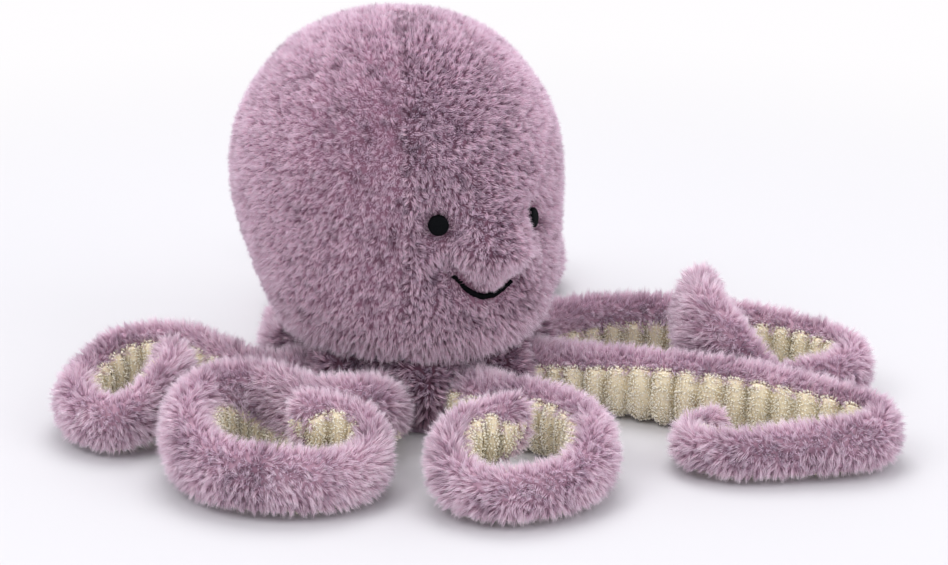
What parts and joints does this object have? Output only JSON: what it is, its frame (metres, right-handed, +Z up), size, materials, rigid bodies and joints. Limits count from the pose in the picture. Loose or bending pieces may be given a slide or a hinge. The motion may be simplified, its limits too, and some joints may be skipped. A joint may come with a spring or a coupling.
{
  "type": "plush octopus",
  "caption": "Sitting plush octopus with a stuffed rounded head, stitched face, weighted base and curled arms of long lilac pile with a ribbed cream underside.",
  "frame": {"origin": "centre of the flat base cloth, on the surface the toy sits on", "axes": "+Z up, the face looks along -Y, the octopus's own left is +X"},
  "size_m": [0.4133, 0.4767, 0.2087],
  "materials": {
    "head_fur": "matt long pile, lilac",
    "arm_fur": "matt long pile, lilac",
    "ribbed_chenille": "matt chenille in ribs, cream",
    "base_fabric": "matt short pile, lilac",
    "fibre_filling": "matt loose fibre, white",
    "pouch_cotton": "matt plain weave, natural",
    "black_thread": "slightly glossy embroidery thread, black"
  },
  "bodies": {
    "head_and_base": {"face_panel": "head_fur", "head_left_panel": "head_fur", "head_right_panel": "head_fur", "head_back_panel": "head_fur", "left_eye": "black_thread", "right_eye": "black_thread", "smile_stitching": "black_thread", "head_filling": "fibre_filling", "arm_seam_band": "head_fur", "base_cloth": "base_fabric", "bean_pouch": "pouch_cotton"},
    "arm_front": {"arm_front_ribbed_panel": "ribbed_chenille", "arm_front_fur_panel": "arm_fur", "arm_front_filling": "fibre_filling"},
    "arm_front_left": {"arm_front_left_ribbed_panel": "ribbed_chenille", "arm_front_left_fur_panel": "arm_fur", "arm_front_left_filling": "fibre_filling"},
    "arm_left": {"arm_left_ribbed_panel": "ribbed_chenille", "arm_left_fur_panel": "arm_fur", "arm_left_filling": "fibre_filling"},
    "arm_back_left": {"arm_back_left_ribbed_panel": "ribbed_chenille", "arm_back_left_fur_panel": "arm_fur", "arm_back_left_filling": "fibre_filling"},
    "arm_back": {"arm_back_ribbed_panel": "ribbed_chenille", "arm_back_fur_panel": "arm_fur", "arm_back_filling": "fibre_filling"},
    "arm_back_right": {"arm_back_right_ribbed_panel": "ribbed_chenille", "arm_back_right_fur_panel": "arm_fur", "arm_back_right_filling": "fibre_filling"},
    "arm_right": {"arm_right_ribbed_panel": "ribbed_chenille", "arm_right_fur_panel": "arm_fur", "arm_right_filling": "fibre_filling"},
    "arm_front_right": {"arm_front_right_ribbed_panel": "ribbed_chenille", "arm_front_right_fur_panel": "arm_fur", "arm_front_right_filling": "fibre_filling"}
  },
  "joints": [
    {"name": "arm_front_lift", "type": "hinge", "parent": "head_and_base", "child": "arm_front", "pos_m": [0, -0.0663, 0.036], "axis": [-1, 0, 0], "range_deg": [0, 30]},
    {"name": "arm_front_left_lift", "type": "hinge", "parent": "head_and_base", "child": "arm_front_left", "pos_m": [0.04688, -0.04688, 0.036], "axis": [-0.7071, -0.7071, 0], "range_deg": [0, 20]},
    {"name": "arm_left_lift", "type": "hinge", "parent": "head_and_base", "child": "arm_left", "pos_m": [0.0663, 0, 0.036], "axis": [0, -1, 0], "range_deg": [0, 20]},
    {"name": "arm_back_left_lift", "type": "hinge", "parent": "head_and_base", "child": "arm_back_left", "pos_m": [0.04688, 0.04688, 0.036], "axis": [0.7071, -0.7071, 0], "range_deg": [0, 30]},
    {"name": "arm_back_lift", "type": "hinge", "parent": "head_and_base", "child": "arm_back", "pos_m": [0, 0.0663, 0.036], "axis": [1, 0, 0], "range_deg": [0, 30]},
    {"name": "arm_back_right_lift", "type": "hinge", "parent": "head_and_base", "child": "arm_back_right", "pos_m": [-0.04688, 0.04688, 0.036], "axis": [0.7071, 0.7071, 0], "range_deg": [0, 30]},
    {"name": "arm_right_lift", "type": "hinge", "parent": "head_and_base", "child": "arm_right", "pos_m": [-0.0663, 0, 0.036], "axis": [0, 1, 0], "range_deg": [0, 30]},
    {"name": "arm_front_right_lift", "type": "hinge", "parent": "head_and_base", "child": "arm_front_right", "pos_m": [-0.04688, -0.04688, 0.036], "axis": [-0.7071, 0.7071, 0], "range_deg": [0, 30]}
  ]
}
